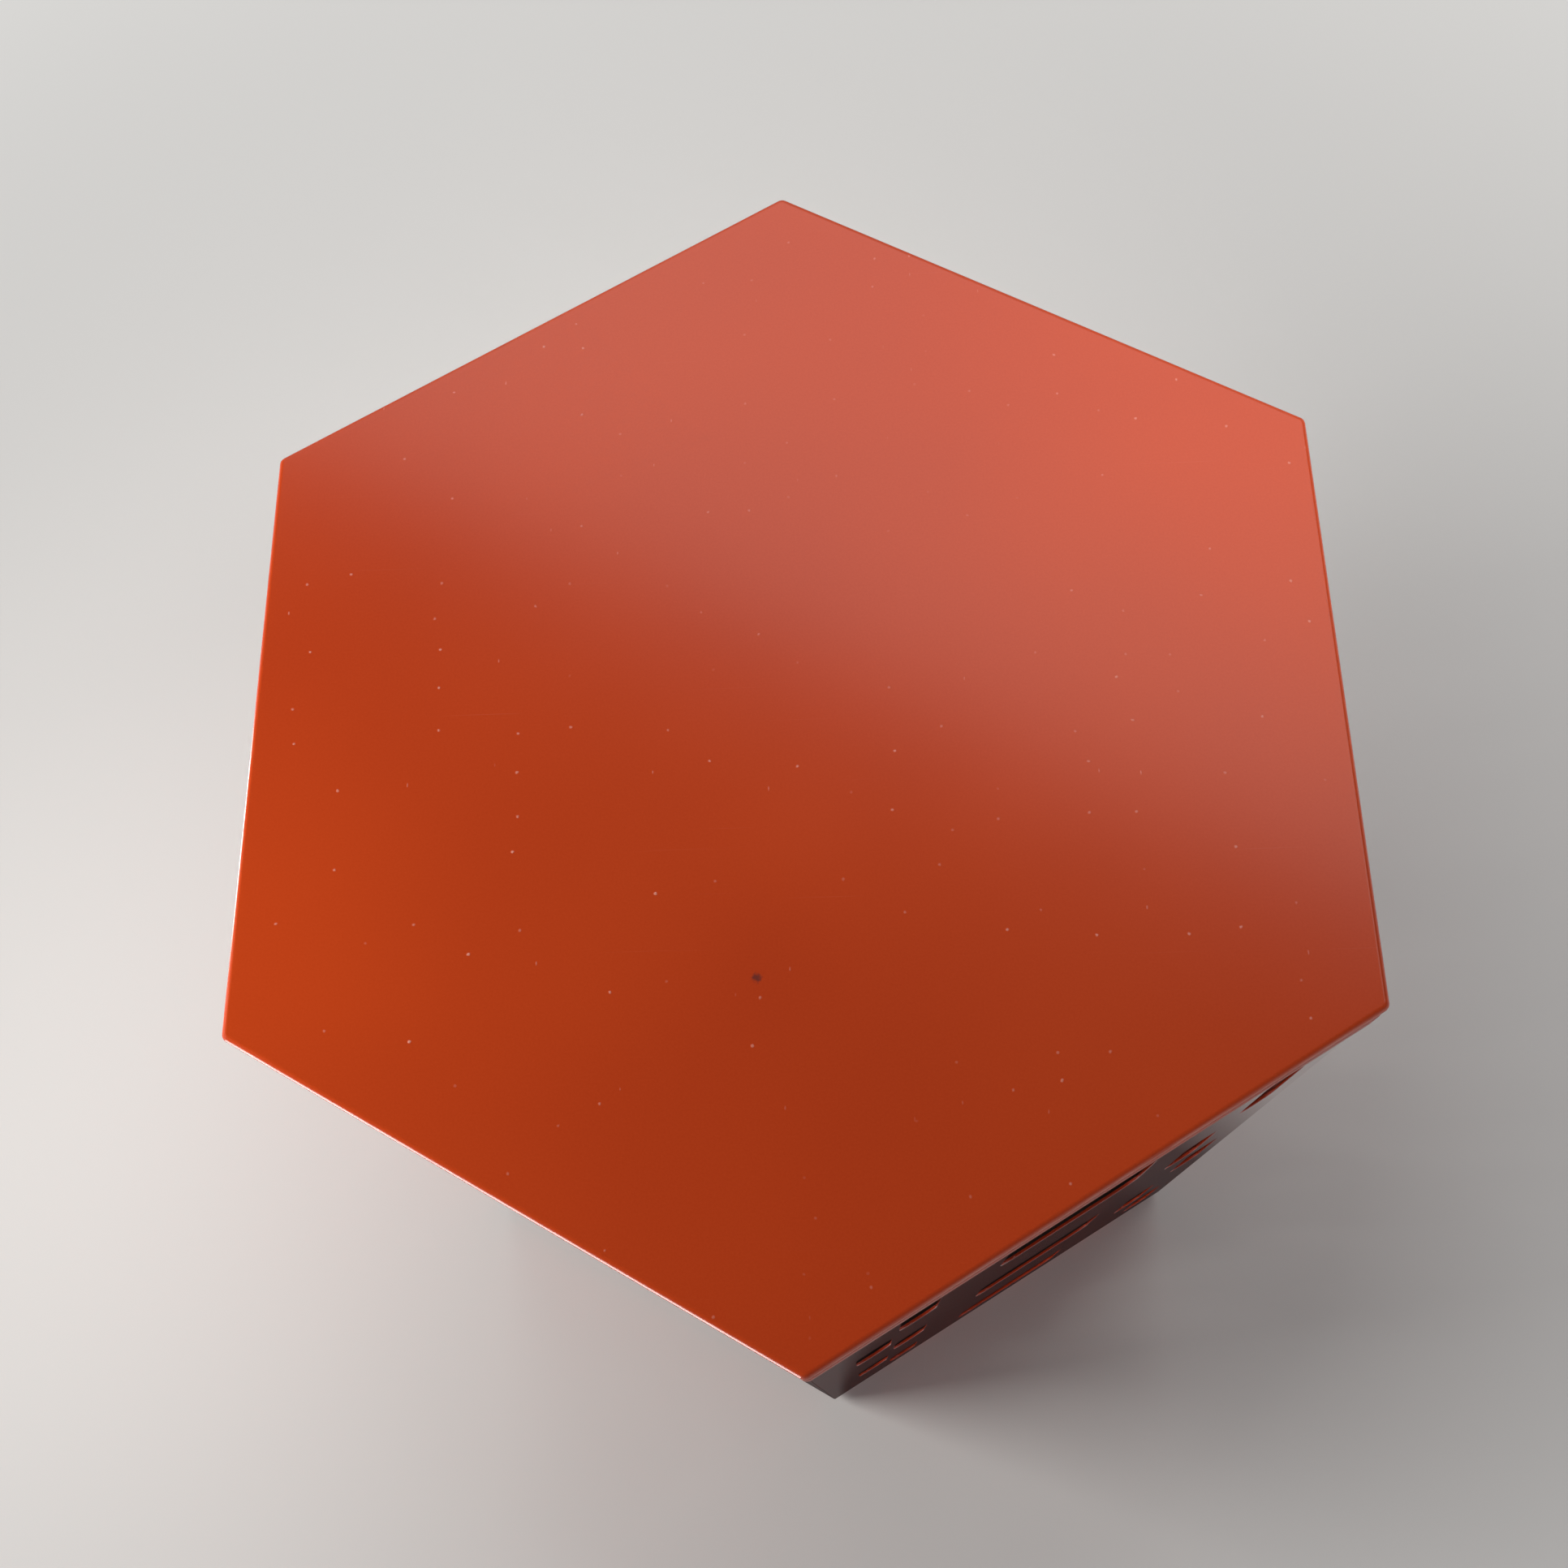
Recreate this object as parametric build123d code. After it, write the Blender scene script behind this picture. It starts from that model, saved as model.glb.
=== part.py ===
from build123d import *
import math
import os

# Free-standing hexagonal practice pad.
# A playing pad (hard sheet, damping rubber, board) lies on a hollow six-sided
# stand of pierced sheet steel. The pad lifts straight off the stand.
# Millimetres. Origin on the floor under the centre, +Z up.
# Flat sides face +X and -X, corners point to +Y and -Y.

# ---- Driving dimensions -------------------------------------------------
ACROSS_FLATS = 355.6          # 14 inch pad
OVERALL_HEIGHT = 440.0
PAD_OVERHANG = 1.0            # the pad stands this far past the stand, all round

SHEET_T = 3.0                 # hard playing sheet
RUBBER_T = 6.0                # damping rubber under it
BOARD_T = 12.0                # pad board
FELT_T = 1.0                  # felt strips between pad and stand
STEEL_T = 1.0                 # pierced side panels
FRAME_T = 1.5                 # rings and corner angles
BASE_BOARD_T = 12.0
FOOT_H = 8.0

TIP_RADIUS = 2.8              # rounding of the six tips in plan
SHEET_EDGE_RADIUS = 2.0       # rounded rim of the playing sheet
BOARD_EDGE_RADIUS = 1.2
RUBBER_INSET = 1.2            # shadow gap around the rubber layer

# ---- Openings in each side panel ----------------------------------------
TIERS = 3                     # rows that have a wide window
SLOT_H = 56.0
SLOT_W = 15.0
SLOT_CORNER = 7.0
WINDOW_W = 57.0
WINDOW_CORNER = 9.0
COLUMN_OFFSET = 70.0          # slot columns stand this far from the middle
COLUMN_STEP = 8.7             # rows step right and left by turns

# ---- Frame inside the stand --------------------------------------------
SEAM_GAP = 0.15               # each panel stops this short of the corner line
RING_FLANGE = 22.0
RING_LEG = 18.0
ANGLE_LEG = 15.0              # stops short of the slots
ANGLE_CLEARANCE = 1.0         # between an angle's end and a ring's leg
BOARD_CLEARANCE = 0.5

# ---- Locating blocks under the pad -------------------------------------
BLOCK_COUNT = 3
BLOCK_L = 70.0
BLOCK_W = 16.0
BLOCK_H = 12.0
BLOCK_CLEARANCE = 0.8         # block to the top ring's inner edge
BLOCK_EDGE = 1.5
BLOCK_SCREW_PITCH = 44.0
BLOCK_SCREW_R = 1.75
BLOCK_SCREW_HEAD_R = 3.6
BLOCK_SCREW_HEAD_H = 2.2
BLOCK_SCREW_L = 20.0

# ---- Feet ---------------------------------------------------------------
FOOT_TOP_R = 14.0
FOOT_BOTTOM_R = 12.5
FOOT_EDGE = 1.0
FOOT_INSET = 24.0             # foot centre to the corner of the stand
FOOT_RECESS_R = 5.5
FOOT_WEB = 2.0                # rubber left under the flange
FOOT_SCREW_R = 2.5
FOOT_SCREW_HEAD_R = 4.7
FOOT_SCREW_HEAD_H = 2.6
FOOT_SCREW_L = 14.0
WASHER_T = 1.0                # steel washer under each foot screw's head
WASHER_R = 5.3
HOLE_CLEARANCE = 0.25
INSERT_R = 4.0
INSERT_L = 10.0
INSERT_FIT = 0.02             # radial gap of insert to board and screw to insert
SOCKET_R = 1.6                # hex socket in each screw head
SOCKET_DEPTH = 1.4

# ---- Derived sizes --------------------------------------------------------
SIDES = 6
TURN = 360 / SIDES
COS_HALF_TURN = math.cos(math.radians(TURN / 2))
TAN_HALF_TURN = math.tan(math.radians(TURN / 2))
APOTHEM = ACROSS_FLATS / 2
STAND_APOTHEM = APOTHEM - PAD_OVERHANG

SHEET_Z = OVERALL_HEIGHT - SHEET_T
RUBBER_Z = SHEET_Z - RUBBER_T
BOARD_Z = RUBBER_Z - BOARD_T
STAND_TOP = BOARD_Z - FELT_T
PANEL_H = STAND_TOP - FOOT_H
TIER_PITCH = OVERALL_HEIGHT / TIERS

FRAME_APOTHEM = STAND_APOTHEM - STEEL_T     # inner face of the panels
LEG_APOTHEM = FRAME_APOTHEM - FRAME_T       # inner face of the ring legs
FLANGE_APOTHEM = FRAME_APOTHEM - RING_FLANGE
BASE_BOARD_Z = FOOT_H + FRAME_T
FOOT_R = STAND_APOTHEM / COS_HALF_TURN - FOOT_INSET
FOOT_SCREW_Z = FOOT_H - FOOT_WEB - WASHER_T  # underside of the screw's head

# Alignment of a solid that is centred and rises from its own base.
STANDING = (Align.CENTER, Align.CENTER, Align.MIN)


def corner_radius(apothem):
    """Distance from centre to corner of a hexagon with this apothem."""
    return apothem / COS_HALF_TURN


def hexagon(apothem):
    """Hexagon face with flats on X and corners on Y."""
    return RegularPolygon(corner_radius(apothem), SIDES, rotation=TURN / 2)


def hex_plate(apothem, z, thickness, tip_radius):
    """Hexagonal plate with its six upright edges rounded."""
    plate = Pos(0, 0, z) * extrude(hexagon(apothem), thickness)
    return fillet(plate.edges().filter_by(Axis.Z), tip_radius)


def around(shape, index):
    """Copy of a shape turned to side or corner number index."""
    return Rot(0, 0, TURN * index) * shape


def group(solids):
    """Several separate solids as one compound."""
    return Compound(children=list(solids))


# ---- Pad ------------------------------------------------------------------
def make_playing_surface():
    plate = hex_plate(APOTHEM, SHEET_Z, SHEET_T, TIP_RADIUS)
    rim = plate.faces().sort_by(Axis.Z)[-1].edges()
    return fillet(rim, SHEET_EDGE_RADIUS)


def make_damping_rubber():
    return hex_plate(APOTHEM - RUBBER_INSET, RUBBER_Z, RUBBER_T, TIP_RADIUS)


def block_screw_places():
    """Centres of the block screws, as (x, y) on side 0."""
    x = FLANGE_APOTHEM - BLOCK_CLEARANCE - BLOCK_W / 2
    return [(x, -BLOCK_SCREW_PITCH / 2), (x, BLOCK_SCREW_PITCH / 2)]


def blocks_on_sides():
    """Numbers of the sides that carry a locating block."""
    return range(0, SIDES, SIDES // BLOCK_COUNT)


def make_block_screw():
    """Countersunk screw, head down, its head's face at z = 0."""
    return countersunk_body(0) - make_socket()


def countersunk_body(gap):
    """Cone and shank of a block screw, larger all round by the gap."""
    radius = BLOCK_SCREW_R + gap
    cone = Cone(BLOCK_SCREW_HEAD_R + gap, radius, BLOCK_SCREW_HEAD_H, align=STANDING)
    return cone + Cylinder(radius, BLOCK_SCREW_L + gap, align=STANDING)


def make_socket():
    """Hex socket that opens downward at z = 0."""
    return extrude(RegularPolygon(SOCKET_R, 6), SOCKET_DEPTH)


def make_pad_board():
    board = hex_plate(APOTHEM, BOARD_Z, BOARD_T, TIP_RADIUS)
    rim = board.faces().sort_by(Axis.Z)[0].edges() + board.faces().sort_by(Axis.Z)[-1].edges()
    board = fillet(rim, BOARD_EDGE_RADIUS)
    pocket = countersunk_body(INSERT_FIT)
    for side in blocks_on_sides():
        for x, y in block_screw_places():
            board -= around(Pos(x, y, BOARD_Z - BLOCK_H) * pocket, side)
    return board


def make_locating_block(side):
    """Wooden block under the pad that drops inside the top ring."""
    x = FLANGE_APOTHEM - BLOCK_CLEARANCE - BLOCK_W / 2
    block = Box(BLOCK_W, BLOCK_L, BLOCK_H, align=STANDING)
    block = chamfer(block.faces().sort_by(Axis.Z)[0].edges(), BLOCK_EDGE)
    block = Pos(x, 0, BOARD_Z - BLOCK_H) * block
    pocket = countersunk_body(INSERT_FIT)
    for screw_x, screw_y in block_screw_places():
        block -= Pos(screw_x, screw_y, BOARD_Z - BLOCK_H) * pocket
    return around(block, side)


def make_block_screws():
    screws = []
    for side in blocks_on_sides():
        for x, y in block_screw_places():
            screws.append(around(Pos(x, y, BOARD_Z - BLOCK_H) * make_block_screw(), side))
    return group(screws)


# ---- Stand ----------------------------------------------------------------
def opening(y, z, width, corner):
    """Cutter for one rounded opening in the panel that faces +X."""
    face = Plane.YZ * RectangleRounded(width, SLOT_H, corner)
    return Pos(FRAME_APOTHEM - STEEL_T, y, z) * extrude(face, 3 * STEEL_T)


def panel_openings():
    """Wide windows on every tier, with a column of slots on each hand.

    A second set of rows lies half way between the tiers. The slots of one set
    step one way along the panel, the slots of the other set the other way.
    """
    cutters = []
    for row in range(2 * TIERS - 1):
        z = OVERALL_HEIGHT - (row + 1) * TIER_PITCH / 2
        on_tier = row % 2 == 0
        step = COLUMN_STEP if on_tier else -COLUMN_STEP
        if on_tier:
            cutters.append(opening(0, z, WINDOW_W, WINDOW_CORNER))
        for column in (-COLUMN_OFFSET, COLUMN_OFFSET):
            cutters.append(opening(column + step, z, SLOT_W, SLOT_CORNER))
    return cutters


def make_side_panel(side):
    """Pierced sheet with mitred upright edges."""
    outer_y = STAND_APOTHEM * TAN_HALF_TURN - SEAM_GAP
    inner_y = FRAME_APOTHEM * TAN_HALF_TURN - SEAM_GAP
    outline = Polyline(
        (STAND_APOTHEM, -outer_y),
        (STAND_APOTHEM, outer_y),
        (FRAME_APOTHEM, inner_y),
        (FRAME_APOTHEM, -inner_y),
        close=True,
    )
    panel = Pos(0, 0, FOOT_H) * extrude(make_face(outline), PANEL_H)
    for cutter in panel_openings():
        panel -= cutter
    return around(panel, side)


def make_ring(flange_z, leg_z):
    """Hexagonal angle-section ring: a level flange and an upright leg."""
    flange = extrude(hexagon(FRAME_APOTHEM) - hexagon(FLANGE_APOTHEM), FRAME_T)
    leg = extrude(hexagon(FRAME_APOTHEM) - hexagon(LEG_APOTHEM), RING_LEG)
    return Pos(0, 0, flange_z) * flange + Pos(0, 0, leg_z) * leg


def make_top_ring():
    return make_ring(STAND_TOP - FRAME_T, STAND_TOP - RING_LEG)


def foot_places():
    """Centre of each foot, one under each corner of the stand."""
    angles = [math.radians(90 + TURN * corner) for corner in range(SIDES)]
    return [(FOOT_R * math.cos(angle), FOOT_R * math.sin(angle)) for angle in angles]


def make_bottom_ring():
    ring = make_ring(FOOT_H, FOOT_H)
    hole = Cylinder(FOOT_SCREW_R + HOLE_CLEARANCE, 4 * FRAME_T)
    for x, y in foot_places():
        ring -= Pos(x, y, FOOT_H + FRAME_T / 2) * hole
    return ring


def make_corner_angle(corner):
    """Folded strip that joins two panels inside a corner."""
    tip = Vector(corner_radius(FRAME_APOTHEM), 0)
    inner_tip = Vector(corner_radius(LEG_APOTHEM), 0)
    along = Vector(math.cos(math.radians(2 * TURN)), math.sin(math.radians(2 * TURN)))
    inward = Vector(-COS_HALF_TURN, -math.sin(math.radians(TURN / 2)))
    end = tip + along * ANGLE_LEG
    inner_end = end + inward * FRAME_T
    points = [tip, end, inner_end, inner_tip]
    mirrored = [Vector(point.X, -point.Y) for point in (inner_end, end)]
    outline = Polyline(*points, *mirrored, close=True)
    low = FOOT_H + RING_LEG + ANGLE_CLEARANCE
    high = STAND_TOP - RING_LEG - ANGLE_CLEARANCE
    strip = Pos(0, 0, low) * extrude(make_face(outline), high - low)
    return Rot(0, 0, 90 + TURN * corner) * strip


def make_felt_strips():
    """Felt strips stuck on the top ring so that the pad doesn't rattle."""
    length = 2 * FLANGE_APOTHEM * TAN_HALF_TURN - RING_FLANGE
    width = RING_FLANGE / 2
    strip = Box(width, length, FELT_T, align=STANDING)
    strip = Pos(FRAME_APOTHEM - RING_FLANGE / 2, 0, STAND_TOP) * strip
    return group(around(strip, side) for side in range(SIDES))


def make_base_board():
    board = hex_plate(LEG_APOTHEM - BOARD_CLEARANCE, BASE_BOARD_Z, BASE_BOARD_T, TIP_RADIUS)
    hole = Cylinder(INSERT_R + INSERT_FIT, 2 * BASE_BOARD_T)
    for x, y in foot_places():
        board -= Pos(x, y, BASE_BOARD_Z) * hole
    return board


# ---- Feet and their fasteners ---------------------------------------------
def make_foot(x, y):
    """Turned rubber foot with a recess for the screw head."""
    foot = Cone(FOOT_BOTTOM_R, FOOT_TOP_R, FOOT_H, align=STANDING)
    foot = fillet(foot.edges().sort_by(Axis.Z)[0], FOOT_EDGE)
    foot -= Cylinder(FOOT_RECESS_R, FOOT_H - FOOT_WEB, align=STANDING)
    foot -= Cylinder(FOOT_SCREW_R + HOLE_CLEARANCE, 3 * FOOT_H)
    return Pos(x, y, 0) * foot


def make_foot_screw():
    """Button-head screw, head down, the underside of its head at z = 0."""
    low = Pos(0, 0, -FOOT_SCREW_HEAD_H)
    head = low * Cylinder(FOOT_SCREW_HEAD_R, FOOT_SCREW_HEAD_H, align=STANDING)
    head = fillet(head.edges().sort_by(Axis.Z)[0], FOOT_SCREW_HEAD_H / 2)
    shank = Cylinder(FOOT_SCREW_R, FOOT_SCREW_L, align=STANDING)
    return head + shank - low * make_socket()


def make_foot_screws():
    return group(Pos(x, y, FOOT_SCREW_Z) * make_foot_screw() for x, y in foot_places())


def make_foot_washers():
    """Flat washers between the screw heads and the rubber."""
    washer = Cylinder(WASHER_R, WASHER_T, align=STANDING)
    washer -= Cylinder(FOOT_SCREW_R + HOLE_CLEARANCE, 3 * WASHER_T)
    return group(Pos(x, y, FOOT_SCREW_Z) * washer for x, y in foot_places())


def make_base_inserts():
    """Threaded inserts in the base board that take the foot screws."""
    insert = Cylinder(INSERT_R, INSERT_L, align=STANDING)
    insert -= Cylinder(FOOT_SCREW_R + INSERT_FIT, 3 * INSERT_L)
    return group(Pos(x, y, BASE_BOARD_Z) * insert for x, y in foot_places())


def make_nodes():
    """All the pieces, by node name."""
    nodes = {
        "playing_surface": make_playing_surface(),
        "damping_rubber": make_damping_rubber(),
        "pad_board": make_pad_board(),
        "block_screws": make_block_screws(),
        "felt_strips": make_felt_strips(),
        "top_ring": make_top_ring(),
        "bottom_ring": make_bottom_ring(),
        "base_board": make_base_board(),
        "base_inserts": make_base_inserts(),
        "foot_screws": make_foot_screws(),
        "foot_washers": make_foot_washers(),
    }
    for number, side in enumerate(blocks_on_sides(), start=1):
        nodes[f"locating_block_{number}"] = make_locating_block(side)
    for index, (x, y) in enumerate(foot_places()):
        nodes[f"side_panel_{index + 1}"] = make_side_panel(index)
        nodes[f"corner_angle_{index + 1}"] = make_corner_angle(index)
        nodes[f"foot_{index + 1}"] = make_foot(x, y)
    return nodes


os.makedirs("parts", exist_ok=True)
for name, shape in make_nodes().items():
    export_step(shape, f"parts/{name}.step")
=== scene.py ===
import math

import bmesh
import bpy
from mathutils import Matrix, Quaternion, Vector, noise


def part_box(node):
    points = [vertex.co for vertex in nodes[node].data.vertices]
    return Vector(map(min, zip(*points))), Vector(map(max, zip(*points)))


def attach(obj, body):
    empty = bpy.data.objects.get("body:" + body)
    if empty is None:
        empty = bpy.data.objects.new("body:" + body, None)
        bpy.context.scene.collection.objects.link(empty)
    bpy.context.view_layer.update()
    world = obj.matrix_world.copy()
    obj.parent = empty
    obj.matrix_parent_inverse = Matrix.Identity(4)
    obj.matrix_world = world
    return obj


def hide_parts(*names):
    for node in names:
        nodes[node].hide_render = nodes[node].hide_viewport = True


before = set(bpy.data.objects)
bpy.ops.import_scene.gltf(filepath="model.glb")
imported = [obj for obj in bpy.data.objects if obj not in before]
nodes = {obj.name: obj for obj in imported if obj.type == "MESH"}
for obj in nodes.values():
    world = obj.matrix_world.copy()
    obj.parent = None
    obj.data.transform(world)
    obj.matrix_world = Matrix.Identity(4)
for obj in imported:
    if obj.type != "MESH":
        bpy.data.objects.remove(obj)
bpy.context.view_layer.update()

MM = 0.001
SIDES = 6
TURN = 2 * math.pi / SIDES

# ---- Sizes read from the frame ---------------------------------------------
_, sheet_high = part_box("playing_surface")
TOP_Z = sheet_high.z
APOTHEM = sheet_high.x
CORNER_R = APOTHEM / math.cos(TURN / 2)


# ---- Node material helper --------------------------------------------------
class Finish:
    """A node material built up from small named steps."""

    def __init__(self, name):
        self.material = bpy.data.materials.new(name)
        self.material.use_nodes = True
        self.tree = self.material.node_tree
        self.tree.nodes.clear()
        output = self.node("ShaderNodeOutputMaterial")
        self.surface = self.node("ShaderNodeBsdfPrincipled")
        self.link(self.surface.outputs["BSDF"], output.inputs["Surface"])
        self.place = self.node("ShaderNodeTexCoord").outputs["Object"]

    def node(self, kind, **settings):
        made = self.tree.nodes.new(kind)
        for key, value in settings.items():
            setattr(made, key, value)
        return made

    def link(self, source, target):
        self.tree.links.new(source, target)

    def feed(self, target, value):
        """Sets a socket to a number or colour, or links it to another socket."""
        if isinstance(value, bpy.types.NodeSocket):
            self.link(value, target)
        elif isinstance(value, tuple) and len(value) == 3 and target.type == "RGBA":
            target.default_value = (*value, 1.0)
        else:
            target.default_value = value

    def set(self, **values):
        """Feeds the surface's inputs: underscores stand for spaces."""
        for key, value in values.items():
            self.feed(self.surface.inputs[key.replace("_", " ")], value)

    def stretch(self, scale, turn=(0.0, 0.0, 0.0)):
        """The piece's own coordinates, turned and then scaled."""
        mapping = self.node("ShaderNodeMapping", vector_type="POINT")
        self.link(self.place, mapping.inputs["Vector"])
        mapping.inputs["Scale"].default_value = scale
        mapping.inputs["Rotation"].default_value = turn
        return mapping.outputs["Vector"]

    def noise(self, scale, detail=4.0, roughness=0.5, distortion=0.0, vector=None):
        made = self.node("ShaderNodeTexNoise")
        self.link(vector or self.place, made.inputs["Vector"])
        made.inputs["Scale"].default_value = scale
        made.inputs["Detail"].default_value = detail
        made.inputs["Roughness"].default_value = roughness
        made.inputs["Distortion"].default_value = distortion
        return made.outputs["Fac"]

    def cells(self, scale, vector=None, flat=False):
        """Distance to the nearest of some scattered points, and each point's own colour."""
        made = self.node("ShaderNodeTexVoronoi")
        if flat:
            made.voronoi_dimensions = "2D"
        self.link(vector or self.place, made.inputs["Vector"])
        made.inputs["Scale"].default_value = scale
        return made.outputs["Distance"], made.outputs["Color"]

    def remap(self, value, low, high, to_low=0.0, to_high=1.0):
        made = self.node("ShaderNodeMapRange", clamp=True)
        self.feed(made.inputs["Value"], value)
        for key, number in zip(("From Min", "From Max", "To Min", "To Max"), (low, high, to_low, to_high)):
            made.inputs[key].default_value = number
        return made.outputs["Result"]

    def maths(self, operation, first, second=0.0):
        made = self.node("ShaderNodeMath", operation=operation)
        self.feed(made.inputs[0], first)
        self.feed(made.inputs[1], second)
        return made.outputs[0]

    def mix(self, factor, first, second):
        made = self.node("ShaderNodeMix", data_type="RGBA")
        self.feed(made.inputs[0], factor)
        self.feed(made.inputs[6], first)
        self.feed(made.inputs[7], second)
        return made.outputs[2]

    def part(self, source, axis):
        made = self.node("ShaderNodeSeparateXYZ")
        self.link(source, made.inputs[0])
        return made.outputs[axis]

    def facing(self, axis):
        """One component of the surface normal in the row frame's axes."""
        geometry = self.node("ShaderNodeNewGeometry")
        turned = self.node("ShaderNodeVectorTransform", vector_type="NORMAL")
        turned.convert_from = "WORLD"
        turned.convert_to = "OBJECT"
        self.link(geometry.outputs["Normal"], turned.inputs[0])
        return self.part(turned.outputs[0], axis)

    def bump(self, *layers):
        """Layers of (height, strength, distance), each laid over the one before."""
        normal = None
        for height, strength, distance in layers:
            made = self.node("ShaderNodeBump")
            self.link(height, made.inputs["Height"])
            made.inputs["Strength"].default_value = strength
            made.inputs["Distance"].default_value = distance
            if normal:
                self.link(normal, made.inputs["Normal"])
            normal = made.outputs["Normal"]
        self.link(normal, self.surface.inputs["Normal"])

    def edge_distance(self):
        """Distance inward from the hexagon's six flat sides."""
        reach = None
        for side in range(SIDES // 2):
            angle = side * TURN
            dot = self.node("ShaderNodeVectorMath", operation="DOT_PRODUCT")
            self.link(self.place, dot.inputs[0])
            dot.inputs[1].default_value = (math.cos(angle), math.sin(angle), 0.0)
            here = self.maths("ABSOLUTE", dot.outputs["Value"])
            reach = self.maths("MAXIMUM", reach, here) if reach else here
        return self.maths("SUBTRACT", APOTHEM, reach)

    def specks(self, spacing, size, share, faintest=1.0, vector=None):
        """Mask of small uneven specks: spacing and size in metres, share of cells that hold one."""
        reach = size / spacing
        distance, colour = self.cells(1.0 / spacing, vector=vector, flat=True)
        uneven = 0.20 * reach
        wobble = self.remap(self.noise(900.0, detail=2.0), 0.3, 0.7, -uneven, uneven)
        dot = self.remap(self.maths("ADD", distance, wobble), 0.60 * reach, 0.20 * reach)
        chosen = self.maths("LESS_THAN", self.part(colour, 0), share)
        strength = self.remap(self.part(colour, 1), 0.0, 1.0, faintest, 1.0)
        return self.maths("MULTIPLY", self.maths("MULTIPLY", dot, chosen), strength)

    def mark(self, x, y, radius):
        """Mask of one soft-edged mark at a place on the playing surface."""
        offset = self.node("ShaderNodeVectorMath", operation="SUBTRACT")
        self.link(self.place, offset.inputs[0])
        offset.inputs[1].default_value = (x, y, TOP_Z)
        length = self.node("ShaderNodeVectorMath", operation="LENGTH")
        self.link(offset.outputs["Vector"], length.inputs[0])
        uneven = 0.35 * radius
        wobble = self.remap(self.noise(700.0, detail=3.0), 0.3, 0.7, -uneven, uneven)
        return self.remap(self.maths("ADD", length.outputs["Value"], wobble), radius, 0.35 * radius)


# ---- Finishes ----------------------------------------------------------------
RED_DEEP = (0.46, 0.038, 0.002)
RED_BRIGHT = (0.56, 0.052, 0.003)
RED_PALE = (0.80, 0.36, 0.27)
RED_FLECK = (0.78, 0.11, 0.02)
DUST = (0.82, 0.33, 0.24)
DARK_MARK = (0.10, 0.022, 0.018)
MARK_PLACE = (-0.06 * CORNER_R, -0.43 * CORNER_R)
MARK_RADIUS = 1.9 * MM
RIM_WEAR = (0.75 * MM, 0.35 * MM)    # distances from the rim at which the wear starts and is full
LINT_SHAPE = (2.4, 0.8, 1.0)         # lint is specks drawn out along a slanting line
LINT_SLANT = 0.8

LACQUER_DEEP = (0.46, 0.034, 0.005)
LACQUER_BRIGHT = (0.56, 0.046, 0.007)
GRIME = (0.16, 0.06, 0.045)
GRIME_HEIGHTS = (60 * MM, 8 * MM)    # heights above the floor at which the grime starts and is full
BARE_STEEL = (0.42, 0.40, 0.39)
RUBBED_HEIGHTS = (9 * MM, 6.5 * MM)  # and the same for the lacquer that is rubbed off

PRIMER_DEEP = (0.17, 0.022, 0.012)
PRIMER_BRIGHT = (0.24, 0.034, 0.018)
PRIMER_GRAIN = (0.33, 0.08, 0.05)
PAINTED_PLIES = (0.30, 0.024, 0.004)
BIRCH_PALE = (0.62, 0.42, 0.24)
BIRCH_DEEP = (0.46, 0.28, 0.14)
BIRCH_PORES = (0.26, 0.15, 0.07)
# The fibreboard's near-black colours are painted shade: they stand in for the shaded inside of the stand,
# seen through the openings.
PAINTED_SHADE_BLACK = (0.020, 0.018, 0.016)
PAINTED_SHADE_LIGHTER = (0.036, 0.031, 0.027)
BROWN_FIBRES = (0.085, 0.060, 0.042)
RUBBER_BLOOM = (0.075, 0.072, 0.070)
FELT_DARK = (0.030, 0.029, 0.030)
FELT_GREY = (0.085, 0.080, 0.080)
FELT_PALE = (0.22, 0.20, 0.20)
SCORCH_BROWN = (0.085, 0.030, 0.022)
SCORCH_GREY = (0.17, 0.11, 0.10)


def playing_sheet_finish():
    """Satin red-orange sheet: soft mottling, fine grain, hairlines, dust and one small dark mark."""
    f = Finish("playing_sheet")
    colour = f.mix(f.remap(f.noise(6.0, detail=2.0), 0.25, 0.75), RED_DEEP, RED_BRIGHT)
    colour = f.mix(f.remap(f.noise(1400.0, detail=2.0), 0.3, 0.7, 0.0, 0.08), colour, RED_FLECK)
    hairlines = f.remap(f.noise(1.0, detail=3.0, vector=f.stretch((9.0, 1100.0, 1.0))), 0.72, 0.80)
    hairlines = f.maths("MULTIPLY", hairlines, f.remap(f.noise(5.0, detail=1.0), 0.35, 0.75))
    colour = f.mix(f.maths("MULTIPLY", hairlines, 0.10), colour, RED_PALE)
    dust = f.specks(15 * MM, 0.95 * MM, 0.34, faintest=0.15)
    drawn_out = f.stretch(LINT_SHAPE, (0.0, 0.0, LINT_SLANT))
    lint = f.specks(22 * MM, 1.1 * MM, 0.10, faintest=0.2, vector=drawn_out)
    dust = f.maths("MAXIMUM", dust, f.maths("MULTIPLY", lint, 0.6))
    dust = f.maths("MULTIPLY", dust, f.remap(f.noise(4.5, detail=1.0), 0.38, 0.62, 0.2, 1.0))
    colour = f.mix(dust, colour, DUST)
    pits = f.specks(60 * MM, 1.6 * MM, 0.06)
    colour = f.mix(f.maths("MULTIPLY", pits, 0.5), colour, DARK_MARK)
    colour = f.mix(f.maths("MULTIPLY", f.mark(*MARK_PLACE, MARK_RADIUS), 0.8), colour, DARK_MARK)
    by_rim = f.remap(f.edge_distance(), *RIM_WEAR)
    worn = f.maths("MULTIPLY", by_rim, f.remap(f.noise(60.0), 0.35, 0.6))
    colour = f.mix(f.maths("MULTIPLY", worn, 0.25), colour, RED_PALE)
    rough = f.remap(f.noise(12.0, detail=2.0), 0.2, 0.8, 0.195, 0.235)
    f.set(Base_Color=colour, Roughness=rough, Specular_IOR_Level=0.5)
    f.bump((f.noise(420.0, detail=2.0), 0.10, 0.05 * MM), (dust, 0.6, 0.15 * MM))
    return f.material


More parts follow.
